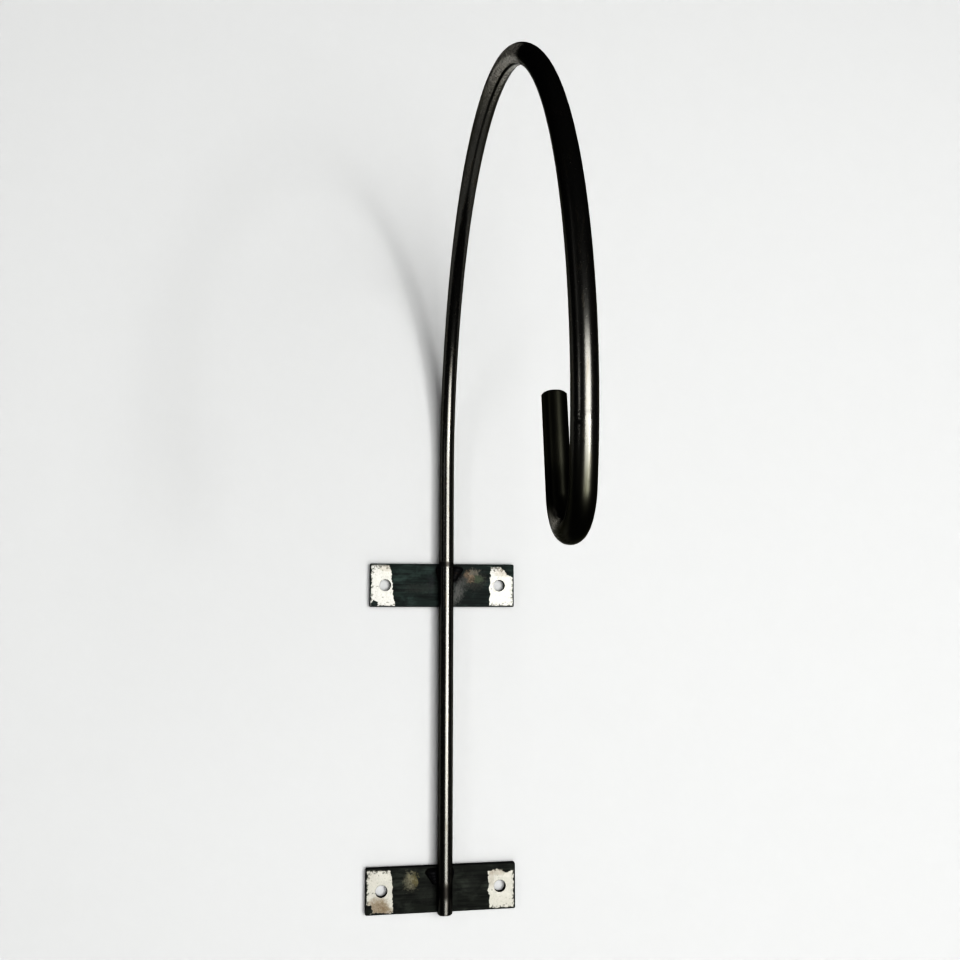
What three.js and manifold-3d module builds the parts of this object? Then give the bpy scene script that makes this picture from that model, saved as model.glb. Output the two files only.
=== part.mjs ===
// Bicycle wall rack: one round steel bar, bent into a tall arch and a hook, welded to two flat wall plates.
// Millimetres, +Z up. The wall is the plane y = 0 and the rack reaches out of it towards -Y.
// The origin is the middle of the upper plate's back face.
import * as THREE from 'three';
import { mergeVertices } from 'three/addons/utils/BufferGeometryUtils.js';
import Module from 'manifold-3d';

const wasm = await Module();
wasm.setup();

// ---- Driving dimensions -----------------------------------------------------------------------------

// Bar stock: half-inch solid round steel.
const BAR_DIAMETER = 12.7;
const END_CHAMFER = 0.8;

// Bar bends, in the order they are made from the riser to the tip. Radii are to the bar's centre line.
const STRAIGHT_ABOVE_PLATE = 98.7;
const RISER_BEND_RADIUS = 260;
const RISER_BEND_ANGLE = 38.5;
const CROWN_RADIUS = 210;
const CROWN_ANGLE = 82.4;
const LEG_BEND_RADIUS = 264;
const LEG_BEND_ANGLE = 70.3;
const HOOK_INNER_RADIUS = 15.3;
const HOOK_ANGLE = 160.4;
const TIP_LENGTH = 52.6;

// Plates: flat bar, 1.5 in x 3/16 in.
const PLATE_LENGTH = 130;
const PLATE_HEIGHT = 38.1;
const PLATE_THICKNESS = 4.76;
const PLATE_CORNER_RADIUS = 1.2;
const PLATE_SPACING = 260;
const HOLE_DIAMETER = 10;
const HOLE_EDGE_DISTANCE = 13.5;

// How far the bar sits to the right of the plates' middle.
const BAR_OFFSET = 2.4;

// Weld beads: reach along the plate from the bar's flank, rise off the plate, length up the plate.
const WIDE_BEAD = { reach: 10.2, rise: 5.6, length: 15 };
const NARROW_BEAD = { reach: 2.6, rise: 4.4, length: 17 };
const BEAD_EDGE_DISTANCE = 1;
// Where a bead starts beside the bar's centre line, as a share of the bar's radius.
const BEAD_ROOT = 0.6;

// Gap left between solids that touch on the real rack.
const CLEARANCE = 0.3;

// Facets.
const BAR_SIDES = 24;
const BEND_STEP = 6;
const HOOK_STEP = 11;
const HOLE_SEGMENTS = 12;
const MOUND_SEGMENTS = 20;

// ---- Values that follow -----------------------------------------------------------------------------

const BAR_RADIUS = BAR_DIAMETER / 2;
const HOOK_RADIUS = HOOK_INNER_RADIUS + BAR_RADIUS;
const BAR_DEPTH = PLATE_THICKNESS + CLEARANCE + BAR_RADIUS;
const RISER_FOOT = -PLATE_SPACING - PLATE_HEIGHT / 2;
const RISER_LENGTH = STRAIGHT_ABOVE_PLATE - RISER_FOOT;
const HOLE_REACH = PLATE_LENGTH / 2 - HOLE_EDGE_DISTANCE;

// ---- Materials --------------------------------------------------------------------------------------

const barSteel = () => new THREE.MeshStandardMaterial({ color: 0x0e0f0c, roughness: 0.3, metalness: 0.8 });
const millScale = () => new THREE.MeshStandardMaterial({ color: 0x1b201f, roughness: 0.55, metalness: 0.7 });
const weldMetal = () => new THREE.MeshStandardMaterial({ color: 0x0b0b0b, roughness: 0.4, metalness: 0.7 });

// ---- Solids: three.js geometry in and out of manifold-3d --------------------------------------------

function toSolid(geometry) {
  const bare = geometry.clone();
  bare.deleteAttribute('normal');
  bare.deleteAttribute('uv');
  const merged = mergeVertices(bare, 1e-4);
  const vertProperties = new Float32Array(merged.attributes.position.array);
  const triVerts = new Uint32Array(merged.index.array);
  return new wasm.Manifold(new wasm.Mesh({ numProp: 3, vertProperties, triVerts }));
}

function toGeometry(solid) {
  const mesh = solid.getMesh();
  const geometry = new THREE.BufferGeometry();
  geometry.setAttribute('position', new THREE.BufferAttribute(new Float32Array(mesh.vertProperties), 3));
  geometry.setIndex(new THREE.BufferAttribute(new Uint32Array(mesh.triVerts), 1));
  geometry.computeVertexNormals();
  return geometry;
}

// ---- Bar --------------------------------------------------------------------------------------------

// A bending schedule as a curve: straights take one step and arcs one step per few degrees.
// Every bend turns the same way, from straight up, out of the wall, down, and back towards it.
class BendSchedule extends THREE.Curve {
  constructor(start) {
    super();
    this.heading = 0;
    this.stations = [{ point: start, heading: 0 }];
  }

  direction(heading) {
    return new THREE.Vector3(0, -Math.sin(heading), Math.cos(heading));
  }

  straight(length) {
    const last = this.stations.at(-1).point;
    const point = last.clone().addScaledVector(this.direction(this.heading), length);
    this.stations.push({ point, heading: this.heading });
    return this;
  }

  bend(radius, degrees, step) {
    const start = this.stations.at(-1).point;
    const inward = this.direction(this.heading + Math.PI / 2);
    const centre = start.clone().addScaledVector(inward, radius);
    const steps = Math.ceil(degrees / step);
    const first = this.heading;
    for (let i = 1; i <= steps; i++) {
      const heading = first + THREE.MathUtils.degToRad(degrees) * i / steps;
      const point = centre.clone().addScaledVector(this.direction(heading + Math.PI / 2), -radius);
      this.stations.push({ point, heading });
    }
    this.heading = this.stations.at(-1).heading;
    return this;
  }

  get steps() {
    return this.stations.length - 1;
  }

  station(u) {
    return this.stations[Math.round(u * this.steps)];
  }

  getPoint(u) {
    return this.station(u).point.clone();
  }

  getPointAt(u) {
    return this.getPoint(u);
  }

  getTangentAt(u) {
    return this.direction(this.station(u).heading);
  }
}

function circle(radius, segments) {
  const points = [];
  for (let i = 0; i < segments; i++) {
    const angle = 2 * Math.PI * (i + 0.5) / segments;
    points.push(new THREE.Vector2(radius * Math.cos(angle), radius * Math.sin(angle)));
  }
  return new THREE.Shape(points);
}

// A ring that takes the chamfer off the end of the bar. Its flat side faces out along +Y.
function chamferCutter() {
  const spare = 1;
  const profile = [
    new THREE.Vector2(BAR_RADIUS - END_CHAMFER - spare, spare),
    new THREE.Vector2(BAR_RADIUS + spare, -END_CHAMFER - spare),
    new THREE.Vector2(BAR_RADIUS + spare, spare),
  ];
  profile.push(profile[0].clone());
  return new THREE.LatheGeometry(profile, 2 * BAR_SIDES);
}

function chamferedEnd(solid, point, outward) {
  const turn = new THREE.Quaternion().setFromUnitVectors(new THREE.Vector3(0, 1, 0), outward);
  const cutter = chamferCutter().applyQuaternion(turn).translate(point.x, point.y, point.z);
  return solid.subtract(toSolid(cutter));
}

function barPath() {
  return new BendSchedule(new THREE.Vector3(BAR_OFFSET, -BAR_DEPTH, RISER_FOOT))
    .straight(RISER_LENGTH)
    .bend(RISER_BEND_RADIUS, RISER_BEND_ANGLE, BEND_STEP)
    .bend(CROWN_RADIUS, CROWN_ANGLE, BEND_STEP)
    .bend(LEG_BEND_RADIUS, LEG_BEND_ANGLE, BEND_STEP)
    .bend(HOOK_RADIUS, HOOK_ANGLE, HOOK_STEP)
    .straight(TIP_LENGTH);
}

function barGeometry() {
  const path = barPath();
  const section = circle(BAR_RADIUS, BAR_SIDES);
  const sweep = new THREE.ExtrudeGeometry(section, { steps: path.steps, extrudePath: path, curveSegments: 1 });
  const foot = chamferedEnd(toSolid(sweep), path.getPoint(0), path.getTangentAt(0).negate());
  return toGeometry(chamferedEnd(foot, path.getPoint(1), path.getTangentAt(1)));
}

// ---- Plates -----------------------------------------------------------------------------------------

function plateOutline() {
  const x = PLATE_LENGTH / 2;
  const z = PLATE_HEIGHT / 2;
  const r = PLATE_CORNER_RADIUS;
  const outline = new THREE.Shape();
  outline.absarc(x - r, z - r, r, 0, Math.PI / 2);
  outline.absarc(-x + r, z - r, r, Math.PI / 2, Math.PI);
  outline.absarc(-x + r, -z + r, r, Math.PI, 1.5 * Math.PI);
  outline.absarc(x - r, -z + r, r, 1.5 * Math.PI, 2 * Math.PI);
  return outline;
}

// The plate stands on its long edge with its back face at y = 0, so its holes run along Y.
function plateGeometry() {
  const outline = plateOutline();
  for (const side of [-1, 1]) {
    const hole = new THREE.Path();
    hole.absarc(side * HOLE_REACH, 0, HOLE_DIAMETER / 2, 0, 2 * Math.PI, true);
    outline.holes.push(hole);
  }
  const slab = new THREE.ExtrudeGeometry(outline, {
    depth: PLATE_THICKNESS,
    bevelEnabled: false,
    curveSegments: HOLE_SEGMENTS,
  });
  return slab.rotateX(Math.PI / 2);
}

// ---- Weld beads -------------------------------------------------------------------------------------

// A bead is a rounded mound in the corner between the bar's flank and the plate.
// It is cut back by the bar and the plate, and starts where the corner is open enough to hold metal.
// Its upper end stays a set distance below the plate's upper edge.
function beadGeometry(bead, side) {
  const flank = BAR_RADIUS + CLEARANCE;
  const root = BEAD_ROOT * BAR_RADIUS;
  const height = (PLATE_HEIGHT - bead.length) / 2 - BEAD_EDGE_DISTANCE;
  const mound = new THREE.SphereGeometry(1, MOUND_SEGMENTS, MOUND_SEGMENTS).rotateX(Math.PI / 2);
  mound.scale(bead.reach + flank, bead.rise + CLEARANCE, bead.length / 2);
  mound.translate(BAR_OFFSET, -PLATE_THICKNESS, height);
  const bar = new THREE.CylinderGeometry(flank, flank, 2 * PLATE_HEIGHT, 2 * BAR_SIDES);
  bar.rotateX(Math.PI / 2).translate(BAR_OFFSET, -BAR_DEPTH, 0);
  const spread = 2 * (bead.reach + flank);
  const keep = new THREE.BoxGeometry(spread, spread, 2 * PLATE_HEIGHT);
  keep.translate(BAR_OFFSET + side * (root + spread / 2), -PLATE_THICKNESS - CLEARANCE - spread / 2, 0);
  return toGeometry(toSolid(mound).intersect(toSolid(keep)).subtract(toSolid(bar)));
}

// ---- Assembly ---------------------------------------------------------------------------------------

function piece(name, geometry, material) {
  const mesh = new THREE.Mesh(geometry, material);
  mesh.name = name;
  return mesh;
}

const plates = [
  { name: 'upper', z: 0, left: NARROW_BEAD, right: WIDE_BEAD },
  { name: 'lower', z: -PLATE_SPACING, left: WIDE_BEAD, right: NARROW_BEAD },
];

const rack = new THREE.Group();
rack.name = 'bicycle_wall_rack';
rack.add(piece('bent_bar', barGeometry(), barSteel()));

for (const plate of plates) {
  const station = new THREE.Group();
  station.position.z = plate.z;
  station.add(piece(`${plate.name}_wall_plate`, plateGeometry(), millScale()));
  for (const [sideName, side] of [['left', -1], ['right', 1]]) {
    station.add(piece(`${plate.name}_${sideName}_weld`, beadGeometry(plate[sideName], side), weldMetal()));
  }
  rack.add(station);
}

export default rack;
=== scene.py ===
"""Looks of a bicycle wall rack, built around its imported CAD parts.

The rack is one round steel bar, bent into a tall arch and a hook, welded to two flat wall plates.
Metres and radians, in the CAD frame: the wall is the plane y = 0, the rack reaches out of it
towards -Y, and +Z is up.
"""

import math

import bmesh
import bpy
from bpy.props import FloatProperty, FloatVectorProperty, IntProperty, PointerProperty
from mathutils import Matrix, Vector


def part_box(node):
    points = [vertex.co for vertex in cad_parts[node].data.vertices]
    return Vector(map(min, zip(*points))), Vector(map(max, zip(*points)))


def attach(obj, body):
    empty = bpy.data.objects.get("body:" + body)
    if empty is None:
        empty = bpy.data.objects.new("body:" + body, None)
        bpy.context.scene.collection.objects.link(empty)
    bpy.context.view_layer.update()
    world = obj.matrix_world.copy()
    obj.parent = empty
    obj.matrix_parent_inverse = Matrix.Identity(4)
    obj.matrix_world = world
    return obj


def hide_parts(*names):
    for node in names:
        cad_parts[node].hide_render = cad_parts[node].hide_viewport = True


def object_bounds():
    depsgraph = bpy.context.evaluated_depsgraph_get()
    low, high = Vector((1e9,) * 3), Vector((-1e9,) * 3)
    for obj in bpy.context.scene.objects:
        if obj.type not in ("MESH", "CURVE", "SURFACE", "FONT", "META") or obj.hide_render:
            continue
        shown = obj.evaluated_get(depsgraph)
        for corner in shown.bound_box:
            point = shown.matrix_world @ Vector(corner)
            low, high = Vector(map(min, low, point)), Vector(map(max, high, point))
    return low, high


bl_info = {
    "name": "Bicycle wall rack",
    "version": (1, 0, 0),
    "blender": (4, 5, 0),
    "location": "3D View > Sidebar > Wall rack",
    "description": "Bent steel bar, wall plates and weld beads of a bicycle wall rack",
    "category": "Object",
}

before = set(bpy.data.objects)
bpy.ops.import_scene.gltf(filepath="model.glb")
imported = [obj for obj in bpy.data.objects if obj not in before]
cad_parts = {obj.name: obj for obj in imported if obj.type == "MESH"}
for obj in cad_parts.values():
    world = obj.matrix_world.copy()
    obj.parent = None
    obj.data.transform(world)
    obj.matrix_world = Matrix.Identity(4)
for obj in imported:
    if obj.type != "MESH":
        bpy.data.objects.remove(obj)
CAD_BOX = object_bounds()

ROOT = "root"
MM = 0.001

# Gap that the CAD keeps between pieces that touch on the real rack.
CAD_CLEARANCE = 0.3 * MM


# ---- What the CAD parts say ---------------------------------------------------------------------


def middle(node):
    low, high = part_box(node)
    return (Vector(low) + Vector(high)) / 2


def extent(node):
    low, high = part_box(node)
    return Vector(high) - Vector(low)


PLATES = ("upper_wall_plate", "lower_wall_plate")
BAR_MIDDLE_X = middle("bent_bar").x
BAR_FOOT_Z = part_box("bent_bar")[0][2]
PLATE_FRONT_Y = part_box(PLATES[0])[0][1]
PLATE_SIZE = extent(PLATES[0])


# ---- Settings -----------------------------------------------------------------------------------


def length(name, description, default):
    return FloatProperty(
        name=name, description=description, default=default, subtype="DISTANCE", unit="LENGTH"
    )


def angle(name, description, degrees):
    return FloatProperty(
        name=name,
        description=description,
        default=math.radians(degrees),
        subtype="ANGLE",
        unit="ROTATION",
    )


def share(name, description, default):
    return FloatProperty(
        name=name, description=description, default=default, min=0.0, max=1.0, subtype="FACTOR"
    )


def colour(name, description, default):
    return FloatVectorProperty(
        name=name,
        description=description,
        default=default,
        size=3,
        min=0.0,
        max=1.0,
        subtype="COLOR",
    )


def power(name, description, watts):
    return FloatProperty(name=name, description=description, default=watts, min=0.0, unit="POWER")


class BarSettings(bpy.types.PropertyGroup):
    """Stock, bends and finish of the bent bar. Bend radii are to the bar's centre line."""

    diameter: length("Diameter", "Diameter of the round bar", 12.7 * MM)
    end_chamfer: length("End chamfer", "Chamfer on both ends of the bar", 0.8 * MM)
    straight_above_plate: length(
        "Straight above plate", "Straight riser above the middle of the upper plate", 98.7 * MM
    )
    riser_bend_radius: length("Riser bend radius", "First bend, out of the riser", 260 * MM)
    riser_bend_angle: angle("Riser bend angle", "How far the first bend turns", 38.5)
    crown_radius: length("Crown radius", "Bend over the top of the arch", 210 * MM)
    crown_angle: angle("Crown angle", "How far the crown turns", 82.4)
    leg_bend_radius: length("Leg bend radius", "Bend from the crown down the leg", 264 * MM)
    leg_bend_angle: angle("Leg bend angle", "How far the leg's bend turns", 70.3)
    hook_inner_radius: length("Hook inner radius", "Radius of the seat of the hook", 15.3 * MM)
    hook_angle: angle("Hook angle", "How far the hook turns", 160.4)
    tip_length: length("Tip length", "Straight upturned end past the hook", 52.6 * MM)
    sides: IntProperty(name="Sides", description="Facets around the bar", default=64, min=12)
    colour: colour("Steel colour", "Dark finish of the drawn bar", (0.104, 0.102, 0.095))
    edge_colour: colour("Edge colour", "How strongly the bar's outline mirrors", (0.3, 0.3, 0.28))
    roughness: share("Roughness", "Roughness of the drawn bar", 0.24)


class PlateSettings(bpy.types.PropertyGroup):
    """Shape and finish of the wall plates."""

    hole_diameter: length("Hole diameter", "Screw holes", 10 * MM)
    hole_edge_distance: length(
        "Hole edge distance", "From a hole's middle to the plate's end", 13.5 * MM
    )
    corner_radius: length("Corner radius", "Rounding of the four corners", 1.2 * MM)
    edge_radius: length("Edge radius", "Rounding of the long edges and the hole rims", 0.35 * MM)
    scale_colour: colour(
        "Mill scale colour", "Dark skin of hot rolled flat bar", (0.017, 0.025, 0.022)
    )
    bare_colour: colour(
        "Bare metal colour", "Ground steel around the screw holes", (0.355, 0.355, 0.342)
    )
    ground_depth: length("Ground depth", "How deep the grinder cut below the scale", 0.06 * MM)
    dark_rim: length("Dark rim", "Scale left along the plate's edges", 0.9 * MM)


class WeldSettings(bpy.types.PropertyGroup):
    """Shape and finish of the weld beads."""

    puddles: IntProperty(
        name="Puddles", description="Overlapping puddles in one bead", default=4, min=1
    )
    ring_pitch: length("Ring pitch", "Distance between ripple rings", 1.5 * MM)
    ring_depth: length("Ring depth", "Height of the ripple rings", 0.09 * MM)
    crater_radius: length("Crater radius", "Ring left where a wide bead ends", 2.2 * MM)
    crater_lip: length("Crater lip", "Thickness of that ring", 0.55 * MM)
    grain: length("Grain", "Size of the cells that fuse the puddles", 0.3 * MM)
    seed: IntProperty(name="Seed", description="Seed of the puddles' irregularity", default=4)
    colour: colour("Weld colour", "Dark oxide on the bead", (0.009, 0.009, 0.01))


class StageSettings(bpy.types.PropertyGroup):
    """Floor, wall, camera and lights around the rack."""

    floor_drop: length("Floor drop", "Floor below the upper plate", 1.4)
    ceiling_gap: length("Ceiling gap", "Dark ceiling above the arch, only in reflections", 0.12)
    skirting_gap: length("Skirting gap", "Dark skirting below the rack, only in reflections", 0.17)
    camera_distance: length("Camera distance", "Camera out from the wall", 0.869)
    camera_left: length("Camera left", "Camera to the left of the bar", 0.114)
    camera_drop: length("Camera drop", "Camera below the upper plate's middle", 0.020)
    camera_yaw: angle("Camera yaw", "Turned to the right", 9.56)
    camera_pitch: angle("Camera pitch", "Tilted up", 7.55)
    field_of_view: angle("Field of view", "Width of the camera's view", 52.9)
    window_power: power("Window power", "Broad light of a tall window", 110.0)
    sun_power: power("Sun power", "Brightest patch of the window", 11.0)
    strip_power: power("Strip power", "Narrow light on the left", 4.6)
    back_right_power: power("Back right power", "Light on the plates' backs, from the right", 60.0)
    back_left_power: power("Back left power", "Light on the plates' backs, from the left", 36.0)
    wall_colour: colour("Wall colour", "Plain pale wall behind the rack", (0.432, 0.434, 0.431))
    floor_colour: colour("Floor colour", "Plain pale floor", (0.6, 0.6, 0.6))


# ---- Node trees ---------------------------------------------------------------------------------


class Wire:
    """An output in a node tree that takes arithmetic. Each operation adds one Math node."""

    def __init__(self, graph, socket):
        self.graph = graph
        self.socket = socket

    def __add__(self, other):
        return self.graph.math("ADD", self, other)

    def __radd__(self, other):
        return self.graph.math("ADD", other, self)

    def __sub__(self, other):
        return self.graph.math("SUBTRACT", self, other)

    def __rsub__(self, other):
        return self.graph.math("SUBTRACT", other, self)

    def __mul__(self, other):
        return self.graph.math("MULTIPLY", self, other)

    def __rmul__(self, other):
        return self.graph.math("MULTIPLY", other, self)

    def __truediv__(self, other):
        return self.graph.math("DIVIDE", self, other)

    def __rtruediv__(self, other):
        return self.graph.math("DIVIDE", other, self)

    def __pow__(self, other):
        return self.graph.math("POWER", self, other)

    def __abs__(self):
        return self.graph.math("ABSOLUTE", self)

    def least(self, other):
        return self.graph.math("MINIMUM", self, other)

    def most(self, other):
        return self.graph.math("MAXIMUM", self, other)

    def sine(self):
        return self.graph.math("SINE", self)


class Graph:
    """Adds nodes to a node tree and links them."""

    def __init__(self, tree):
        self.tree = tree

    def add(self, kind, inputs=None, **settings):
        """A new node. Its settings are set first, then its sockets, by name or index."""
        node = self.tree.nodes.new(kind)
        for name, value in settings.items():
            setattr(node, name, value)
        for key, value in (inputs or {}).items():
            if isinstance(value, Wire):
                self.tree.links.new(value.socket, node.inputs[key])
            else:
                node.inputs[key].default_value = value
        return node

    def wire(self, kind, output, inputs=None, **settings):
        """One output of a new node."""
        return Wire(self, self.add(kind, inputs, **settings).outputs[output])

    def math(self, operation, *values):
        return self.wire("ShaderNodeMath", 0, dict(enumerate(values)), operation=operation)

    def vector(self, operation, *values):
        return self.wire("ShaderNodeVectorMath", 0, dict(enumerate(values)), operation=operation)

    def combine(self, x, y, z):
        return self.wire("ShaderNodeCombineXYZ", 0, {"X": x, "Y": y, "Z": z})

    def split(self, vector):
        node = self.add("ShaderNodeSeparateXYZ", {0: vector})
        return [Wire(self, socket) for socket in node.outputs]

    def smooth(self, value, low, high):
        """0 at low, 1 at high, easing in between."""
        inputs = {"Value": value, "From Min": low, "From Max": high}
        return self.wire("ShaderNodeMapRange", 0, inputs, interpolation_type="SMOOTHSTEP")


class Shader(Graph):
    """A material built from nodes on one Principled surface."""

    def __init__(self, name):
        self.material = bpy.data.materials.new(name)
        self.material.use_nodes = True
        super().__init__(self.material.node_tree)
        self.tree.nodes.clear()
        self.place = self.wire("ShaderNodeTexCoord", "Object")

    def stretch(self, vector, factors):
        return self.vector("MULTIPLY", vector, factors)

    def noise(self, vector, scale, detail, roughness, distortion=0.0):
        """Fractal noise between 0 and 1."""
        inputs = {
            "Vector": vector,
            "Scale": scale,
            "Detail": detail,
            "Roughness": roughness,
            "Distortion": distortion,
        }
        return self.wire("ShaderNodeTexNoise", 0, inputs)

    def mix(self, share_of_second, first, second):
        """A colour between two colours."""
        inputs = {0: share_of_second, 6: as_colour(first), 7: as_colour(second)}
        return self.wire("ShaderNodeMix", 2, inputs, data_type="RGBA")

    def attribute(self, name, output):
        return self.wire("ShaderNodeAttribute", output, attribute_name=name)

    def bump(self, height, distance, strength):
        inputs = {"Height": height, "Distance": distance, "Strength": strength}
        return self.wire("ShaderNodeBump", 0, inputs)

    def finish(self, **sockets):
        """Closes the material with a Principled surface and returns it."""
        inputs = {}
        for name, value in sockets.items():
            inputs[name.replace("_", " ").title().replace("Ior", "IOR")] = value
        surface = self.wire("ShaderNodeBsdfPrincipled", 0, inputs)
        self.add("ShaderNodeOutputMaterial", {"Surface": surface})
        return self.material


def as_colour(value):
    """Blender's four numbers for a colour of three; a wire stays as it is."""
    return value if isinstance(value, Wire) else (*value[:3], 1.0)


def tinted(base, tint):
    """A colour times another colour, or times one number."""
    factors = tint if isinstance(tint, tuple) else (tint,) * 3
    return tuple(c * factor for c, factor in zip(base, factors))


# ---- Geometry node trees ------------------------------------------------------------------------


def evaluated_mesh(thing):
    """An object as a plain mesh, with its modifiers applied."""
    graph = bpy.context.evaluated_depsgraph_get()
    return bpy.data.meshes.new_from_object(thing.evaluated_get(graph))


class Shape(Graph):
    """A geometry node tree with named inputs, used once to make a mesh."""

    SOCKETS = {float: "NodeSocketFloat", int: "NodeSocketInt", Vector: "NodeSocketVector"}

    def __init__(self, name, values, material):
        self.values = values
        self.material = material
        super().__init__(bpy.data.node_groups.new(name, "GeometryNodeTree"))
        interface = self.tree.interface
        interface.new_socket("Geometry", in_out="INPUT", socket_type="NodeSocketGeometry")
        interface.new_socket("Geometry", in_out="OUTPUT", socket_type="NodeSocketGeometry")
        interface.new_socket("Material", in_out="INPUT", socket_type="NodeSocketMaterial")
        for label, value in values.items():
            interface.new_socket(label, in_out="INPUT", socket_type=self.SOCKETS[type(value)])
        self.group_input = self.add("NodeGroupInput")

    def input(self, label):
        return Wire(self, self.group_input.outputs[label])

    def finish(self, geometry):
        """Ends the tree with plain geometry that carries its material."""
        real = self.wire("GeometryNodeRealizeInstances", 0, {0: geometry})
        inputs = {"Geometry": real, "Material": self.input("Material")}
        done = self.wire("GeometryNodeSetMaterial", 0, inputs)
        self.add("NodeGroupOutput", {0: done})

    def mesh_from(self, base):
        """Runs the tree on an object, removes that object and returns the result as a mesh."""
        modifier = base.modifiers.new("shape", "NODES")
        modifier.node_group = self.tree
        values = {**self.values, "Material": self.material}
        for item in self.tree.interface.items_tree:
            if item.item_type == "SOCKET" and item.in_out == "INPUT" and item.name in values:
                modifier[item.identifier] = values[item.name]
        result = evaluated_mesh(base)
        base.modifiers.remove(modifier)
        bpy.data.objects.remove(base)
        return result


def keep(graph, geometry, value, data_type="FLOAT"):
    """Captures a value on a geometry's points, and returns the geometry and the value."""
    node = graph.add("GeometryNodeCaptureAttribute", domain="POINT")
    node.capture_items.new(data_type, "kept")
    graph.tree.links.new(geometry.socket, node.inputs[0])
    graph.tree.links.new(value.socket, node.inputs[1])
    return Wire(graph, node.outputs[0]), Wire(graph, node.outputs[1])


def store(graph, geometry, name, value, data_type="FLOAT"):
    """Writes a value on a mesh's points under a name that materials can read."""
    inputs = {"Geometry": geometry, "Name": name, "Value": value}
    kinds = {"data_type": data_type, "domain": "POINT"}
    return graph.wire("GeometryNodeStoreNamedAttribute", 0, inputs, **kinds)


def shade(graph, geometry, crease):
    """Smooth shading, with edges sharper than the crease angle left crisp."""
    inputs = {"Geometry": geometry, "Shade Smooth": True}
    smooth = graph.wire("GeometryNodeSetShadeSmooth", 0, inputs)
    turn = graph.wire("GeometryNodeInputMeshEdgeAngle", 0)
    sharp = graph.wire("FunctionNodeCompare", 0, {0: turn, 1: crease}, data_type="FLOAT")
    inputs = {"Geometry": smooth, "Selection": sharp, "Shade Smooth": False}
    return graph.wire("GeometryNodeSetShadeSmooth", 0, inputs, domain="EDGE")


# ---- Pieces -------------------------------------------------------------------------------------


def settings(context):
    return context.scene.wall_rack


def add_piece(name, mesh, slot, *nodes):
    """Puts a finished mesh in the scene, standing for its CAD nodes."""
    piece = bpy.data.objects.new(name, mesh)
    bpy.context.scene.collection.objects.link(piece)
    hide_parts(*nodes)
    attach(piece, ROOT)


def add_stage(name, data):
    """Puts a floor or a wall in the scene."""
    thing = bpy.data.objects.new(name, data)
    bpy.context.scene.collection.objects.link(thing)
    return thing


# ---- Bent bar -----------------------------------------------------------------------------------

# Edges of the swept bar that turn by more than this, in radians, stay crisp.
BAR_CREASE = 0.35

# Where the bar's marks are, in metres along it from its foot.
LOWER_PLATE_HEAT = -BAR_FOOT_Z - 0.260
UPPER_PLATE_HEAT = -BAR_FOOT_Z + 0.0185
# Below this the riser turns darker towards its foot.
FOOT_DARKENING_ENDS = 0.16
# The crown's pale patch: rubbed marks and a painted reflection of the wall.
CROWN_RUB_AND_REFLECTION_STARTS = (0.66, 0.84)
CROWN_RUB_AND_REFLECTION_ENDS = (0.888, 0.872)
LEG_NICK = 1.148
# The leg's lower end turns darker and rougher: partly a duller finish, partly painted shade where
# its highlight fades.
LEG_DULL_AND_SHADED = (1.148, 1.182)
HOOK_STAYS_BRIGHT = 1.212
# A painted reflection spot inside the hook.
HOOK_PAINTED_REFLECTION = 1.221
# A near-black band where the hook runs into the tip.
HOOK_END_DARK = 1.243


class BendSchedule:
    """Points of a bar's centre line, bent one way: from straight up, out of the wall and down."""

    FINE = math.radians(1.5)

    def __init__(self, start):
        self.heading = 0.0
        self.points = [start]

    @staticmethod
    def direction(heading):
        return Vector((0.0, -math.sin(heading), math.cos(heading)))

    def straight(self, distance, steps=1):
        start = self.points[-1]
        for step in range(1, steps + 1):
            self.points.append(start + self.direction(self.heading) * distance * step / steps)
        return self

    def bend(self, radius, turn):
        centre = self.points[-1] + self.direction(self.heading + math.pi / 2) * radius
        steps = math.ceil(turn / self.FINE)
        first = self.heading
        for step in range(1, steps + 1):
            self.heading = first + turn * step / steps
            self.points.append(centre - self.direction(self.heading + math.pi / 2) * radius)
        return self


def bar_centre_line(bar):
    """The bar's centre line, with a station one chamfer in from each end."""
    radius = bar.diameter / 2
    start = Vector((BAR_MIDDLE_X, PLATE_FRONT_Y - CAD_CLEARANCE - radius, BAR_FOOT_Z))
    riser = bar.straight_above_plate - BAR_FOOT_Z - 2 * bar.end_chamfer
    path = BendSchedule(start)
    path.straight(bar.end_chamfer).straight(riser, steps=24).straight(bar.end_chamfer)
    path.bend(bar.riser_bend_radius, bar.riser_bend_angle)
    path.bend(bar.crown_radius, bar.crown_angle)
    path.bend(bar.leg_bend_radius, bar.leg_bend_angle)
    path.bend(bar.hook_inner_radius + radius, bar.hook_angle)
    path.straight(bar.tip_length - bar.end_chamfer, steps=4).straight(bar.end_chamfer)
    return path.points


def curve_through(points, end_radius):
    """A straight-sided curve object whose first and last points have a smaller radius."""
    curve = bpy.data.curves.new("bar_path", "CURVE")
    curve.dimensions = "3D"
    spline = curve.splines.new("POLY")
    spline.points.add(len(points) - 1)
    for point, place in zip(spline.points, points):
        point.co = (*place, 1.0)
        point.radius = 1.0
    spline.points[0].radius = end_radius
    spline.points[-1].radius = end_radius
    path = bpy.data.objects.new("bar_path", curve)
    bpy.context.scene.collection.objects.link(path)
    return path


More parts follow.
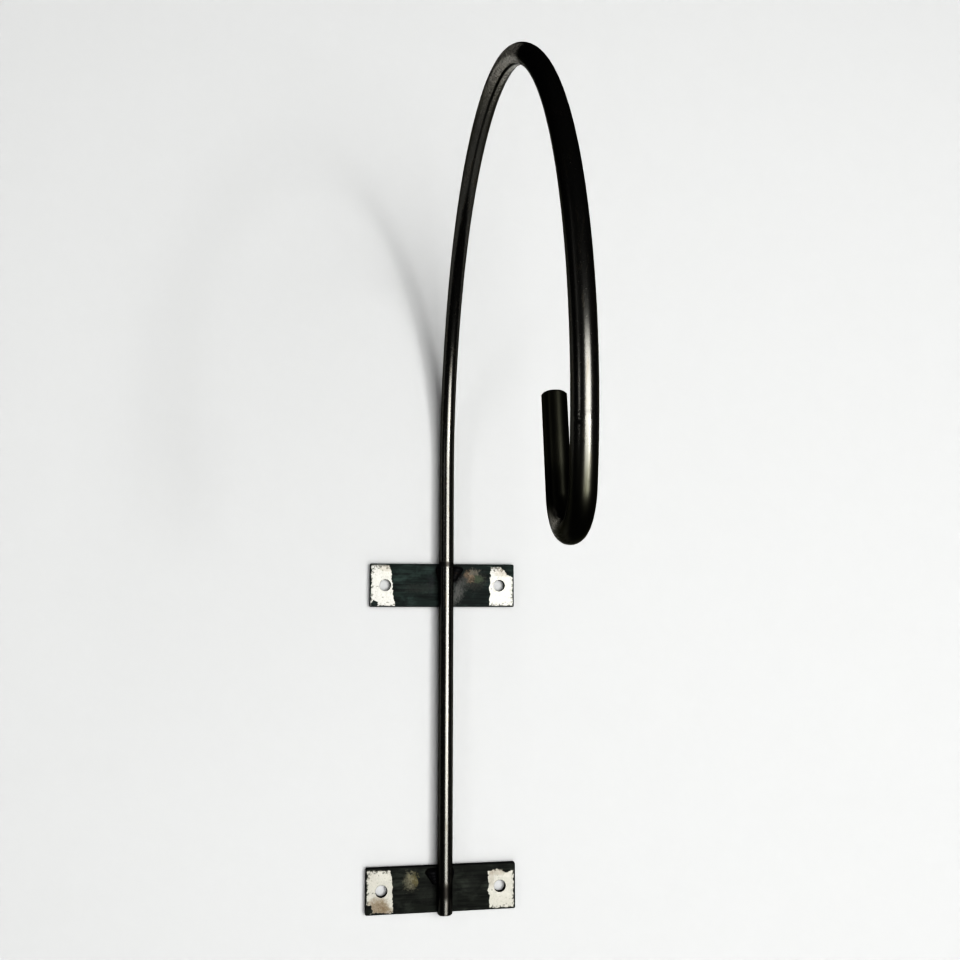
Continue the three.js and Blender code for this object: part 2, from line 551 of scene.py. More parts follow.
def swept_bar(bar, material):
    """Sweeps a circle along the bar's centre line. Each point keeps its place along and around."""
    values = {"Radius": bar.diameter / 2, "Sides": bar.sides, "Crease": BAR_CREASE}
    shape = Shape("bent_bar_sweep", values, material)
    along = shape.wire("GeometryNodeSplineParameter", "Length")
    path, along = keep(shape, shape.input("Geometry"), along)
    round_bar = {"Resolution": shape.input("Sides"), "Radius": shape.input("Radius")}
    circle = shape.wire("GeometryNodeCurvePrimitiveCircle", 0, round_bar)
    outward = shape.vector("NORMALIZE", shape.wire("GeometryNodeInputPosition", 0))
    circle, outward = keep(shape, circle, outward, "VECTOR")
    radius = shape.wire("GeometryNodeInputRadius", 0)
    sweep = {"Curve": path, "Profile Curve": circle, "Scale": radius, "Fill Caps": True}
    skin = shape.wire("GeometryNodeCurveToMesh", 0, sweep)
    skin = store(shape, skin, "along", along)
    skin = store(shape, skin, "outward", outward, "FLOAT_VECTOR")
    shape.finish(shade(shape, skin, shape.input("Crease")))
    end_radius = 1.0 - bar.end_chamfer / (bar.diameter / 2)
    return shape.mesh_from(curve_through(bar_centre_line(bar), end_radius))


def band(shader, value, centre, half_width):
    """1 at the centre, 0 at half a width from it and beyond."""
    return shader.smooth(abs(value - centre), half_width, half_width * 0.25)


def bar_material(bar):
    """Dark, oiled drawn steel: fine lines, smudges, heat at the welds and rubbed marks, with
    painted reflections on the crown and in the hook and painted shade at the leg's lower end.
    """
    shader = Shader("dark_drawn_steel")
    along = shader.attribute("along", "Fac")
    out_x, out_y, _ = shader.split(shader.attribute("outward", "Vector"))
    skin = shader.combine(out_x, out_y, along * 12.0)
    lines = shader.noise(shader.stretch(skin, (9.0, 9.0, 0.35)), 5.0, 3.0, 0.6)
    smudges = shader.noise(shader.stretch(skin, (1.0, 1.0, 2.2)), 2.2, 5.0, 0.6, 0.6)
    mottle = shader.noise(shader.place, 160.0, 3.0, 0.55)
    specks = shader.smooth(shader.noise(shader.place, 900.0, 2.0, 0.5), 0.66, 0.78)
    hatch = shader.noise(shader.stretch(skin, (1.6, 1.6, 30.0)), 3.0, 4.0, 0.65, 1.2)

    heat = band(shader, along, LOWER_PLATE_HEAT, 0.011) * 0.9
    heat = heat.most(band(shader, along, UPPER_PLATE_HEAT, 0.0035) * 0.75)
    # Darker towards the riser's foot as well, beside the heat at the welds.
    heat = heat.most(shader.smooth(along, FOOT_DARKENING_ENDS, 0.02) * 0.2)
    heat = heat * shader.smooth(smudges + heat * 0.3, 0.3, 0.6)
    # Pale patch under the crown: rubbed marks, partly a painted reflection of the pale wall, kept
    # to faces that look neither right nor straight up.
    rub_and_wall_reflection = shader.smooth(along, *CROWN_RUB_AND_REFLECTION_STARTS)
    rub_and_wall_reflection = rub_and_wall_reflection * shader.smooth(along + (hatch - 0.5) * 0.06, *CROWN_RUB_AND_REFLECTION_ENDS)
    face_x, _, face_z = shader.split(shader.wire("ShaderNodeNewGeometry", "Normal"))
    # A painted dark reflection: a line along the crown at one facing, darkened and kept clear of
    # the rub.
    painted_dark_line = band(shader, face_x, shader.smooth(along, 0.74, 0.85) * -0.16 - 0.14, 0.2)
    painted_dark_line = painted_dark_line * shader.smooth(along, 0.55, 0.66) * shader.smooth(along, 0.89, 0.86)
    rub_and_wall_reflection = rub_and_wall_reflection * shader.smooth(face_x, 0.7, 0.3) * shader.smooth(face_z, 0.95, 0.6)
    rub_and_wall_reflection = rub_and_wall_reflection * (1.0 - painted_dark_line * 0.8)
    # A painted reflection: a light spot on the left side of the hook's bottom.
    painted_hook_reflection = band(shader, along, HOOK_PAINTED_REFLECTION, 0.015) * shader.smooth(face_x, -0.3, -0.8) * 0.5
    painted_hook_reflection = painted_hook_reflection * shader.smooth(smudges, 0.3, 0.6)
    # This mask gathers the rubbed marks and the painted reflections on the crown and in the hook.
    worn = (rub_and_wall_reflection * rub_and_wall_reflection * shader.smooth(hatch, 0.36, 0.6)).most(painted_hook_reflection)
    # Darker and rougher from the leg's lower end on: partly a duller finish, partly painted shade.
    dull_and_painted_shade = shader.smooth(along, *LEG_DULL_AND_SHADED)
    dull_and_painted_shade = dull_and_painted_shade * (1.0 - band(shader, along, HOOK_STAYS_BRIGHT, 0.022) * 0.8)
    # A near-black band where the hook runs into the tip.
    hook_end_dark = band(shader, along, HOOK_END_DARK, 0.016) * 0.7
    nick = band(shader, along, LEG_NICK, 0.0035)

    brown = shader.smooth(smudges, 0.52, 0.7)
    tone = shader.mix(brown * 0.5, bar.colour, (0.105, 0.09, 0.066))
    tone = shader.mix(shader.smooth(lines, 0.35, 0.75) * 0.25, tone, (0.055, 0.056, 0.05))
    tone = shader.mix(specks * 0.35, tone, (0.03, 0.028, 0.025))
    tone = shader.mix(heat * 0.9, tone, (0.016, 0.014, 0.012))
    tone = shader.mix(worn * 0.95, tone, (0.68, 0.65, 0.59))
    tone = shader.mix(dull_and_painted_shade * 0.85, tone, (0.036, 0.036, 0.026))
    # Near-black for the painted dark reflection line and the band at the hook's end.
    tone = shader.mix((hook_end_dark + painted_dark_line * 0.5).least(1.0), tone, (0.010, 0.010, 0.008))
    roughness = bar.roughness + (lines - 0.5) * 0.08 + brown * 0.07 + specks * 0.2 + heat * 0.22
    roughness = roughness + rub_and_wall_reflection * (hatch - 0.35) * 0.3 + dull_and_painted_shade * 0.12
    height = (lines - 0.5) * 0.5 + (mottle - 0.5) * 0.6 + (smudges - 0.5) * 0.8
    height = height + rub_and_wall_reflection * (hatch - 0.5) * 1.2
    height = height + nick * (mottle - 0.1) * 22.0
    return shader.finish(
        base_color=tone,
        metallic=0.95 - worn * 0.75,
        specular_tint=as_colour(bar.edge_colour),
        roughness=roughness,
        normal=shader.bump(height, 0.04 * MM, 0.5),
    )


class RACK_OT_bent_bar(bpy.types.Operator):
    """Make the bent bar: riser, arch, leg, hook and tip in one sweep"""

    bl_idname = "rack.bent_bar"
    bl_label = "Bent bar"

    def execute(self, context):
        bar = settings(context).bar
        add_piece("bar", swept_bar(bar, bar_material(bar)), "bar_steel", "bent_bar")
        return {"FINISHED"}


# ---- Wall plates --------------------------------------------------------------------------------

# What the grinder left bare around each screw hole, in millimetres from the plate's middle: the
# lowest and highest corner, how far the inner edge leans per millimetre up, and the middle and
# radius of a round place that it missed.
GROUND_PATCHES = {
    "upper_wall_plate": (
        ((-64.1, -18.6), (-45.0, 18.4), -0.13, (-61.5, -16.5), 3.0),
        ((42.9, -18.2), (64.2, 17.2), -0.04, (68.0, 22.5), 15.5),
    ),
    "lower_wall_plate": (
        ((-63.9, -17.9), (-42.2, 17.2), -0.09, (-63.5, -14.8), 4.2),
        ((41.4, -17.9), (63.8, 13.4), 0.04, (57.0, 14.5), 4.0),
    ),
}

# How the colour of the scale differs from plate to plate.
SCALE_TINTS = {"upper_wall_plate": (1.0, 1.0, 1.0), "lower_wall_plate": (0.88, 0.68, 0.62)}

# The same for the bare metal.
BARE_TINTS = {"upper_wall_plate": (0.97, 0.96, 0.93), "lower_wall_plate": (0.87, 0.85, 0.79)}

# Marks on the scale from heat and wiping, and one painted reflection, in millimetres from the
# plate's middle: middle, half width, half height, lean in degrees, strength and colour.
SCALE_MARKS = {
    "upper_wall_plate": (
        ((24.0, -4.0), 30.0, 26.0, 0.0, 0.60, (0.011, 0.013, 0.012)),
        ((28.0, 5.0), 15.0, 12.0, 0.0, 0.80, (0.042, 0.042, 0.037)),
        ((25.0, 8.5), 6.5, 7.5, 10.0, 1.20, (0.120, 0.092, 0.066)),
        ((25.5, 9.5), 3.4, 4.2, 10.0, 1.30, (0.160, 0.130, 0.100)),
        ((28.5, 11.0), 6.0, 4.0, 0.0, 1.00, (0.110, 0.104, 0.088)),
        ((33.0, 5.8), 6.5, 5.5, 0.0, 1.10, (0.058, 0.070, 0.048)),
        ((12.0, 8.0), 9.0, 9.0, 0.0, 1.60, (0.005, 0.005, 0.005)),
        ((14.0, -5.0), 8.0, 19.0, 26.0, 0.80, (0.085, 0.085, 0.080)),
        ((11.5, -9.0), 4.0, 13.0, 22.0, 0.80, (0.100, 0.099, 0.093)),
        # A bluish grey streak left of the bar: a painted reflection.
        ((-10.5, 1.0), 4.0, 14.0, 0.0, 0.40, (0.030, 0.030, 0.034)),
        ((-20.0, -3.0), 22.0, 6.0, 0.0, 0.45, (0.046, 0.050, 0.044)),
    ),
    "lower_wall_plate": (
        ((-26.6, 7.4), 7.5, 10.5, 5.0, 0.95, (0.110, 0.105, 0.078)),
        ((-25.2, 9.8), 4.0, 6.0, 0.0, 0.90, (0.150, 0.140, 0.100)),
        ((-22.0, 8.6), 2.6, 8.0, 0.0, 0.95, (0.098, 0.088, 0.048)),
        ((-14.0, -4.0), 12.0, 9.0, 0.0, 0.45, (0.030, 0.032, 0.027)),
        ((26.0, 2.0), 10.0, 12.0, 0.0, 0.35, (0.028, 0.030, 0.026)),
    ),
}

# Brown stains on the bare metal, placed the same way: middle, half width, half height and strength.
STAINS = {
    "upper_wall_plate": (((56.0, 12.0), 12.0, 6.0, 0.35), ((-50.0, 15.0), 9.0, 4.0, 0.30)),
    "lower_wall_plate": (
        ((-54.0, -12.0), 12.0, 10.0, 0.90),
        ((-48.0, -15.5), 9.0, 4.5, 0.70),
        ((50.0, 12.0), 13.0, 4.0, 0.30),
        ((44.0, 6.0), 3.5, 9.0, 0.25),
    ),
}


def spot(shader, x, z, half_width, half_height, lean=0.0):
    """1 in the middle of a leaning oval, 0 at its rim."""
    cos, sin = math.cos(math.radians(lean)), math.sin(math.radians(lean))
    across = (x * cos - z * sin) / half_width
    up = (x * sin + z * cos) / half_height
    return shader.smooth(across * across + up * up, 1.0, 0.0)


def ground_patch(shader, x, z, wobble, patch):
    """1 where the grinder took the dark scale off, with a ragged rim. All in millimetres."""
    (low_x, low_z), (high_x, high_z), lean, (miss_x, miss_z), miss_radius = patch
    side = z * lean
    if high_x < 0:
        across = (x - low_x).least(high_x - x + side)
    else:
        across = (x - low_x + side).least(high_x - x)
    inside = across.least((z - low_z).least(high_z - z))
    away = ((x - miss_x) ** 2.0 + (z - miss_z) ** 2.0) ** 0.5 - miss_radius
    return shader.smooth(inside.least(away) + wobble, -0.2, 0.3)


def plate_material(name, plate):
    """Dark mill scale, ground to bright steel round the holes, with heat marks beside the welds."""
    shader = Shader(f"{name}_steel")
    centre = middle(name)
    local = shader.vector("SUBTRACT", shader.place, tuple(centre))
    local = shader.stretch(local, (1 / MM, 1 / MM, 1 / MM))
    x, y, z = shader.split(local)
    face = -0.5 * PLATE_SIZE.y / MM
    front = shader.smooth(y, face + 0.30, face + 0.12)
    half_x, half_z = 0.5 * PLATE_SIZE.x / MM, 0.5 * PLATE_SIZE.z / MM
    rim = (half_x - abs(x)).least(half_z - abs(z))

    rolled = shader.noise(shader.stretch(local, (0.03, 0.3, 0.4)), 1.2, 5.0, 0.55, 0.2)
    blotches = shader.noise(shader.stretch(local, (0.7, 1.0, 1.0)), 0.1, 5.0, 0.6, 0.5)
    dust = shader.noise(local, 1.9, 3.0, 0.7)
    usual = tinted(plate.scale_colour, SCALE_TINTS[name])
    light = tuple(c * 2.3 + 0.006 for c in usual)
    clean = tinted(plate.bare_colour, BARE_TINTS[name])
    scale = shader.mix(shader.smooth(rolled, 0.34, 0.66), tinted(usual, 0.32), usual)
    lighter = shader.smooth(blotches, 0.4, 0.75) * shader.smooth(rolled + dust * 0.3, 0.35, 0.8)
    scale = shader.mix(lighter, scale, light)
    scale = shader.mix(shader.smooth(dust, 0.62, 0.8) * 0.2, scale, (0.045, 0.045, 0.04))

    streaks = shader.noise(shader.stretch(local, (0.45, 0.5, 0.16)), 2.4, 4.0, 0.62, 0.8)
    cloud = shader.noise(local, 0.32, 5.0, 0.62, 0.6)
    drift = shader.noise(shader.vector("ADD", local, (31.0, 7.0, 12.0)), 0.42, 5.0, 0.65, 0.8)
    side_x, side_z = x + (cloud - 0.5) * 17.0, z + (drift - 0.5) * 17.0
    grained = shader.smooth(streaks, 0.3, 0.62) * 0.6 + 0.45
    for (mark_x, mark_z), width, height, lean, strength, tint in SCALE_MARKS[name]:
        mask = spot(shader, side_x - mark_x, side_z - mark_z, width, height, lean)
        scale = shader.mix((mask * grained * strength).least(1.0) * front, scale, tint)

    ragged = (shader.noise(local, 0.24, 3.0, 0.55) - 0.5) * 5.0 + (dust - 0.5) * 0.9
    patches = [ground_patch(shader, x, z, ragged, patch) for patch in GROUND_PATCHES[name]]
    near_rim = plate.dark_rim / MM
    keep_rim = shader.smooth(rim + (cloud - 0.5) * 1.2, near_rim * 0.55, near_rim)
    bare_mask = patches[0].most(patches[1]) * front * keep_rim
    swirl = shader.noise(shader.stretch(local, (0.6, 0.75, 0.42)), 0.9, 6.0, 0.7, 2.0)
    smear = shader.noise(local, 0.11, 4.0, 0.6)
    scratches = shader.noise(shader.stretch(local, (0.35, 0.5, 2.2)), 1.6, 3.0, 0.6, 0.5)
    bare = shader.mix(shader.smooth(swirl, 0.44, 0.66) * 0.55, clean, (0.24, 0.24, 0.225))
    bare = shader.mix(shader.smooth(smear, 0.5, 0.68) * 0.4, bare, (0.36, 0.355, 0.32))
    bare = shader.mix(shader.smooth(scratches, 0.55, 0.7) * 0.35, bare, (0.2, 0.195, 0.18))
    upper_edge = shader.smooth(z, 9.0, 17.0) * (0.07 + shader.smooth(x, 0.0, 1.0) * 0.11)
    fringe = shader.noise(local, 0.5, 5.0, 0.7) + shader.smooth(rim, 5.0, 0.5) * 0.16
    fringe = shader.smooth(fringe + upper_edge, 0.6, 0.7)
    bare = shader.mix(fringe * 0.75, bare, (0.05, 0.048, 0.043))
    for (stain_x, stain_z), width, height, strength in STAINS[name]:
        mask = spot(shader, x - stain_x, z - stain_z, width, height)
        worn = shader.smooth(mask + (swirl - 0.5) * 1.2 + (cloud - 0.5) * 1.2, -0.1, 1.3)
        stain = worn * shader.smooth(mask, 0.0, 0.5) * strength
        bare = shader.mix(stain, bare, (0.13, 0.10, 0.065))

    base = shader.mix(bare_mask, scale, bare)
    # Near-black along the outline and on the sides: painted edge shade over the scale.
    base = shader.mix(shader.smooth(rim, 0.7, 0.25) * 0.9, base, (0.007, 0.008, 0.008))
    scale_roughness = 0.55 + (rolled - 0.5) * 0.3 + (blotches - 0.5) * 0.2
    bare_roughness = 0.5 + (swirl - 0.5) * 0.3
    roughness = scale_roughness + (bare_roughness - scale_roughness) * bare_mask
    roughness = roughness + (1.0 - front) * 0.2
    height = (rolled - 0.5) * 0.4 + (dust - 0.5) * 0.15 + bare_mask * ((swirl - 0.5) * 0.8 - 0.6)
    return shader.finish(
        base_color=base,
        metallic=0.05 + bare_mask * 0.35,
        specular_ior_level=0.1,
        roughness=roughness,
        normal=shader.bump(height, plate.ground_depth, 0.7),
    )


def arc(centre, radius, start, turn, steps):
    """Points on an arc, from the angle start, in degrees."""
    angles = [math.radians(start + turn * step / steps) for step in range(steps + 1)]
    return [(centre[0] + radius * math.cos(a), centre[1] + radius * math.sin(a)) for a in angles]


def plate_outline(corner_radius):
    """The plate's rounded rectangle, about its middle."""
    x = PLATE_SIZE.x / 2 - corner_radius
    z = PLATE_SIZE.z / 2 - corner_radius
    corners = ((x, z, 0), (-x, z, 90), (-x, -z, 180), (x, -z, 270))
    return [p for cx, cz, start in corners for p in arc((cx, cz), corner_radius, start, 90, 6)]


def plate_mesh(name, plate):
    """A flat bar with rounded edges and two screw holes, standing on its long edge."""
    curve = bpy.data.curves.new(name, "CURVE")
    curve.dimensions = "2D"
    curve.fill_mode = "BOTH"
    curve.bevel_depth = plate.edge_radius
    curve.bevel_resolution = 3
    curve.extrude = PLATE_SIZE.y / 2 - plate.edge_radius
    curve.offset = -plate.edge_radius
    reach = PLATE_SIZE.x / 2 - plate.hole_edge_distance
    loops = [plate_outline(plate.corner_radius)]
    loops += [arc((side * reach, 0.0), plate.hole_diameter / 2, 0, -354, 59) for side in (-1, 1)]
    for loop in loops:
        spline = curve.splines.new("POLY")
        spline.points.add(len(loop) - 1)
        spline.use_cyclic_u = True
        for point, (x, z) in zip(spline.points, loop):
            point.co = (x, z, 0.0, 1.0)
    flat = bpy.data.objects.new(name, curve)
    bpy.context.scene.collection.objects.link(flat)
    mesh = evaluated_mesh(flat)
    bpy.data.objects.remove(flat)
    mesh.transform(Matrix.Translation(middle(name)) @ Matrix.Rotation(math.pi / 2, 4, "X"))
    close_and_shade(mesh)
    return mesh


def close_and_shade(mesh):
    """Joins loose seams, turns faces outwards and keeps flat faces flat beside rounded edges."""
    body = bmesh.new()
    body.from_mesh(mesh)
    bmesh.ops.remove_doubles(body, verts=body.verts, dist=0.005 * MM)
    bmesh.ops.recalc_face_normals(body, faces=body.faces)
    for face in body.faces:
        face.smooth = True
    for edge in body.edges:
        flats = [abs(face.normal.y) > 0.999 for face in edge.link_faces]
        edge.smooth = not any(flats) or all(flats)
    body.to_mesh(mesh)
    body.free()


class RACK_OT_wall_plates(bpy.types.Operator):
    """Make the two wall plates, with their screw holes and ground patches"""

    bl_idname = "rack.wall_plates"
    bl_label = "Wall plates"

    def execute(self, context):
        plate = settings(context).plates
        for name in PLATES:
            mesh = plate_mesh(name, plate)
            mesh.materials.clear()
            mesh.materials.append(plate_material(name, plate))
            add_piece(name.replace("_wall", ""), mesh, "plate_steel", name)
        return {"FINISHED"}


# ---- Weld beads ---------------------------------------------------------------------------------


# Where the arc was lifted off, as shares of the bead's reach, rise and length from its top.
CRATER_PLACE = (0.62, 0.62, 0.36)

# A bead shows its crater when it reaches this many crater radii from the bar.
WIDE_BEAD = 2.5

# Middle of the first puddle, and the run from there to the last, as shares of the bead's length.
FIRST_PUDDLE = 0.27
PUDDLE_RUN = 0.5

# How much the last puddle is narrower and lower than the first.
BEAD_NARROWS = 0.42
BEAD_SINKS = 0.25

# How much the puddles differ in length.
PUDDLE_SPREAD = (0.92, 1.08)


def bead_sizes(node, side, weld):
    """The named inputs of a bead's tree, from the space that its CAD node holds."""
    low, high = (Vector(corner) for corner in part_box(node))
    size = high - low
    root = low.x if side > 0 else high.x
    across, out, down = CRATER_PLACE
    crater_x = root + side * size.x * across
    crater = Vector((crater_x, PLATE_FRONT_Y - size.y * out, high.z - size.z * down))
    wide = size.x > WIDE_BEAD * weld.crater_radius
    return {
        "Root": Vector((root, PLATE_FRONT_Y, high.z)),
        "Side": float(side),
        "Reach": size.x,
        "Rise": size.y + CAD_CLEARANCE,
        "Length": size.z,
        "Puddles": weld.puddles,
        "Crater": crater,
        "Crater Radius": weld.crater_radius,
        "Crater Lip": weld.crater_lip if wide else 0.0,
        "Ring Pitch": weld.ring_pitch,
        "Ring Depth": weld.ring_depth,
        "Grain": weld.grain,
        "Seed": weld.seed,
    }


def puddle_row(shape):
    """Flat-backed domes, one over the next down the corner. Returns their middles and the domes."""
    size, reach = shape.input("Length"), shape.input("Reach")
    index = shape.wire("GeometryNodeInputIndex", 0)
    down = index / (shape.input("Puddles") - 1.0)
    half = reach * (1.0 - down * BEAD_NARROWS) * 0.5
    drop = size * (down * PUDDLE_RUN + FIRST_PUDDLE) * -1.0
    offset = shape.combine(half * shape.input("Side"), 0.0, drop)
    place = shape.vector("ADD", shape.input("Root"), offset)
    points = shape.wire("GeometryNodePoints", 0, {"Count": shape.input("Puddles")})
    points = shape.wire("GeometryNodeSetPosition", 0, {"Geometry": points, "Position": place})
    ball = shape.wire("GeometryNodeMeshUVSphere", 0, {"Segments": 32, "Rings": 20, "Radius": 1.0})
    x, y, z = shape.split(shape.wire("GeometryNodeInputPosition", 0))
    flat_back = {"Geometry": ball, "Position": shape.combine(x, y.least(0.08), z)}
    dome = shape.wire("GeometryNodeSetPosition", 0, flat_back)
    shortest, longest = PUDDLE_SPREAD
    spread = {2: shortest, 3: longest, "ID": index, "Seed": shape.input("Seed")}
    jitter = shape.wire("FunctionNodeRandomValue", 1, spread, data_type="FLOAT")
    rise = shape.input("Rise") * (1.0 - down * BEAD_SINKS) * 0.94
    scale = shape.combine(half * 0.96, rise, size * 0.25 * jitter)
    row = {"Points": points, "Instance": dome, "Scale": scale}
    domes = shape.wire("GeometryNodeInstanceOnPoints", 0, row)
    return points, shape.wire("GeometryNodeRealizeInstances", 0, {0: domes})


def crater_ring(shape):
    """The raised lip left where the arc was lifted off, open on one side."""
    circle = {"Resolution": 40, "Radius": shape.input("Crater Radius")}
    ring = shape.wire("GeometryNodeCurvePrimitiveCircle", 0, circle)
    ring = shape.wire("GeometryNodeTrimCurve", 0, {"Curve": ring, 2: 0.1, 3: 0.88}, mode="FACTOR")
    lip = {"Resolution": 12, "Radius": shape.input("Crater Lip")}
    lip = shape.wire("GeometryNodeCurvePrimitiveCircle", 0, lip)
    sweep = {"Curve": ring, "Profile Curve": lip, "Fill Caps": True}
    ring = shape.wire("GeometryNodeCurveToMesh", 0, sweep)
    upright = {"Translation": shape.input("Crater"), "Rotation": (math.pi / 2, 0.0, 0.0)}
    return shape.wire("GeometryNodeTransform", 0, {"Geometry": ring, **upright})


def bead_mesh(node, side, weld, material):
    """Puddles and crater fused into one bead, with ripple rings round each puddle."""
    shape = Shape(f"{node}_bead", bead_sizes(node, side, weld), material)
    points, domes = puddle_row(shape)
    joined = shape.add("GeometryNodeJoinGeometry")
    for part in (domes, crater_ring(shape)):
        shape.tree.links.new(part.socket, joined.inputs[0])
    grain = shape.input("Grain")
    solid = {"Mesh": Wire(shape, joined.outputs[0]), "Voxel Size": grain}
    solid["Interior Band Width"] = grain * 4.0
    volume = shape.wire("GeometryNodeMeshToVolume", 0, solid, resolution_mode="VOXEL_SIZE")
    skin = {"Volume": volume, "Voxel Size": grain, "Threshold": 0.1}
    bead = shape.wire("GeometryNodeVolumeToMesh", 0, skin, resolution_mode="VOXEL_SIZE")
    position = shape.wire("GeometryNodeInputPosition", 0)
    soft = {"Value": position, "Iterations": 3}
    soft = shape.wire("GeometryNodeBlurAttribute", 0, soft, data_type="FLOAT_VECTOR")
    bead = shape.wire("GeometryNodeSetPosition", 0, {"Geometry": bead, "Position": soft})
    near = shape.wire("GeometryNodeProximity", "Distance", {0: points}, target_element="POINTS")
    rings = (near * (2 * math.pi) / shape.input("Ring Pitch")).sine() * shape.input("Ring Depth")
    normal = shape.wire("GeometryNodeInputNormal", 0)
    ripple = shape.vector("MULTIPLY", normal, shape.combine(rings, rings, rings))
    bead = shape.wire("GeometryNodeSetPosition", 0, {"Geometry": bead, "Offset": ripple})
    shape.finish(shade(shape, bead, 3.0))
    base = bpy.data.objects.new(node, bpy.data.meshes.new(node))
    bpy.context.scene.collection.objects.link(base)
    return shape.mesh_from(base)


def weld_material(weld):
    """Dark glassy oxide over the bead, with brown scale between the ripples."""
    shader = Shader("weld_oxide")
    cloud = shader.noise(shader.place, 260.0, 4.0, 0.6)
    grit = shader.noise(shader.place, 1500.0, 2.0, 0.6)
    tone = shader.mix(shader.smooth(cloud, 0.5, 0.72), weld.colour, (0.026, 0.021, 0.017))
    tone = shader.mix(shader.smooth(grit, 0.6, 0.8) * 0.5, tone, (0.015, 0.014, 0.013))
    return shader.finish(
        base_color=tone,
        metallic=0.1,
        specular_ior_level=0.07,
        roughness=0.34 + cloud * 0.2,
        normal=shader.bump(cloud * 0.6 + grit * 0.4, 0.12 * MM, 0.6),
    )


class RACK_OT_weld_beads(bpy.types.Operator):
    """Make the four weld beads between the bar and the plates"""

    bl_idname = "rack.weld_beads"
    bl_label = "Weld beads"

    def execute(self, context):
        weld = settings(context).welds
        material = weld_material(weld)
        for level in ("upper", "lower"):
            for hand, side in (("left", -1), ("right", 1)):
                node = f"{level}_{hand}_weld"
                mesh = bead_mesh(node, side, weld, material)
                add_piece(f"{node}_bead", mesh, "weld_metal", node)
        return {"FINISHED"}


# ---- Stage --------------------------------------------------------------------------------------

WALL_HALF_WIDTH = 1.5
WALL_TOP = 2.0
WALL_SETBACK = 1.0 * MM
FLOOR_HALF_WIDTH = 4.0
CEILING_DEPTH = 1.2

# What the lights and their distances are measured from: a point between the wall and the hook.
LIT_MIDDLE = Vector((BAR_MIDDLE_X, -0.15, 0.0))


def upright_sheet(half_width, low, high):
    """Corners of a sheet in the plane of the wall."""
    wide = half_width
    return [(-wide, 0, low), (wide, 0, low), (wide, 0, high), (-wide, 0, high)]


def level_sheet(first_y, last_y, z):
    """Corners of a level sheet as wide as the floor."""
    wide = FLOOR_HALF_WIDTH
    return [(-wide, first_y, z), (wide, first_y, z), (wide, last_y, z), (-wide, last_y, z)]


def sheet_mesh(name, corners):
    mesh = bpy.data.meshes.new(name)
    mesh.from_pydata(corners, [], [range(len(corners))])
    return mesh


def wall_material(stage):
    """Pale paint on the front. The wall isn't there from behind, or for light that starts on it."""
    shader = Shader("pale_wall_paint")
    grain = shader.noise(shader.place, 55.0, 4.0, 0.6)
    paint = shader.mix(grain * 0.5, stage.wall_colour, tinted(stage.wall_colour, 0.985))
    surface = shader.wire("ShaderNodeBsdfDiffuse", 0, {"Color": paint})
    clear = shader.wire("ShaderNodeBsdfTransparent", 0)
    behind = shader.wire("ShaderNodeNewGeometry", "Backfacing")
    ray = shader.wire("ShaderNodeLightPath", "Ray Length")
    unseen = behind.most(shader.math("LESS_THAN", ray, 2.0 * MM))
    both = shader.wire("ShaderNodeMixShader", 0, {0: unseen, 1: surface, 2: clear})
    shader.add("ShaderNodeOutputMaterial", {"Surface": both})
    return shader.material


def floor_material(stage):
    """Pale and even to look at, and dim where the steel mirrors it."""
    shader = Shader("pale_floor")
    grain = shader.noise(shader.place, 30.0, 3.0, 0.5)
    tone = shader.mix(grain * 0.5, stage.floor_colour, tinted(stage.floor_colour, 0.96))
    dim = (0.02, 0.02, 0.02)
    mirrored = shader.wire("ShaderNodeLightPath", "Is Glossy Ray")
    seen = shader.wire("ShaderNodeLightPath", "Is Camera Ray")
    return shader.finish(
        base_color=shader.mix(mirrored.most(seen), tone, dim),
        emission_color=shader.mix(seen, (0.0, 0.0, 0.0), tone),
        emission_strength=0.6,
        specular_ior_level=0.0,
        roughness=0.8,
    )


def dark_room_material():
    shader = Shader("dark_room")
    grain = shader.noise(shader.place, 12.0, 3.0, 0.5)
    tone = shader.mix(grain, (0.01, 0.01, 0.01), (0.02, 0.02, 0.02))
    return shader.finish(base_color=tone, roughness=0.9)


def add_dark_board(name, corners, material):
    """A part of the dim room that only the steel mirrors."""
    board = sheet_mesh(name, corners)
    board.materials.append(material)
    board = add_stage(name, board)
    board.visible_camera = False
    board.visible_diffuse = False
    board.visible_shadow = False


def add_area_light(name, place, width, height, watts):
    """A rectangular soft light at a place, facing the rack."""
    light = bpy.data.lights.new(name, "AREA")
    light.shape = "RECTANGLE"
    light.size = width
    light.size_y = height
    light.energy = watts
    lamp = bpy.data.objects.new(name, light)
    lamp.location = place
    lamp.rotation_euler = (LIT_MIDDLE - place).to_track_quat("-Z", "Y").to_euler()
    bpy.context.scene.collection.objects.link(lamp)


def around(azimuth, elevation, distance):
    """A place round the rack. Azimuth 0 is straight out of the wall and 90 is to the right."""
    a, e = math.radians(azimuth), math.radians(elevation)
    out = Vector((math.sin(a) * math.cos(e), -math.cos(a) * math.cos(e), math.sin(e)))
    return LIT_MIDDLE + out * distance


def add_camera(stage):
    camera = bpy.data.cameras.new("camera")
    camera.sensor_width = 36.0
    camera.lens = camera.sensor_width / 2 / math.tan(stage.field_of_view / 2)
    seat = bpy.data.objects.new("camera", camera)
    seat.location = (BAR_MIDDLE_X - stage.camera_left, -stage.camera_distance, -stage.camera_drop)
    seat.rotation_euler = (math.pi / 2 + stage.camera_pitch, 0.0, -stage.camera_yaw)
    bpy.context.scene.collection.objects.link(seat)
    bpy.context.scene.camera = seat


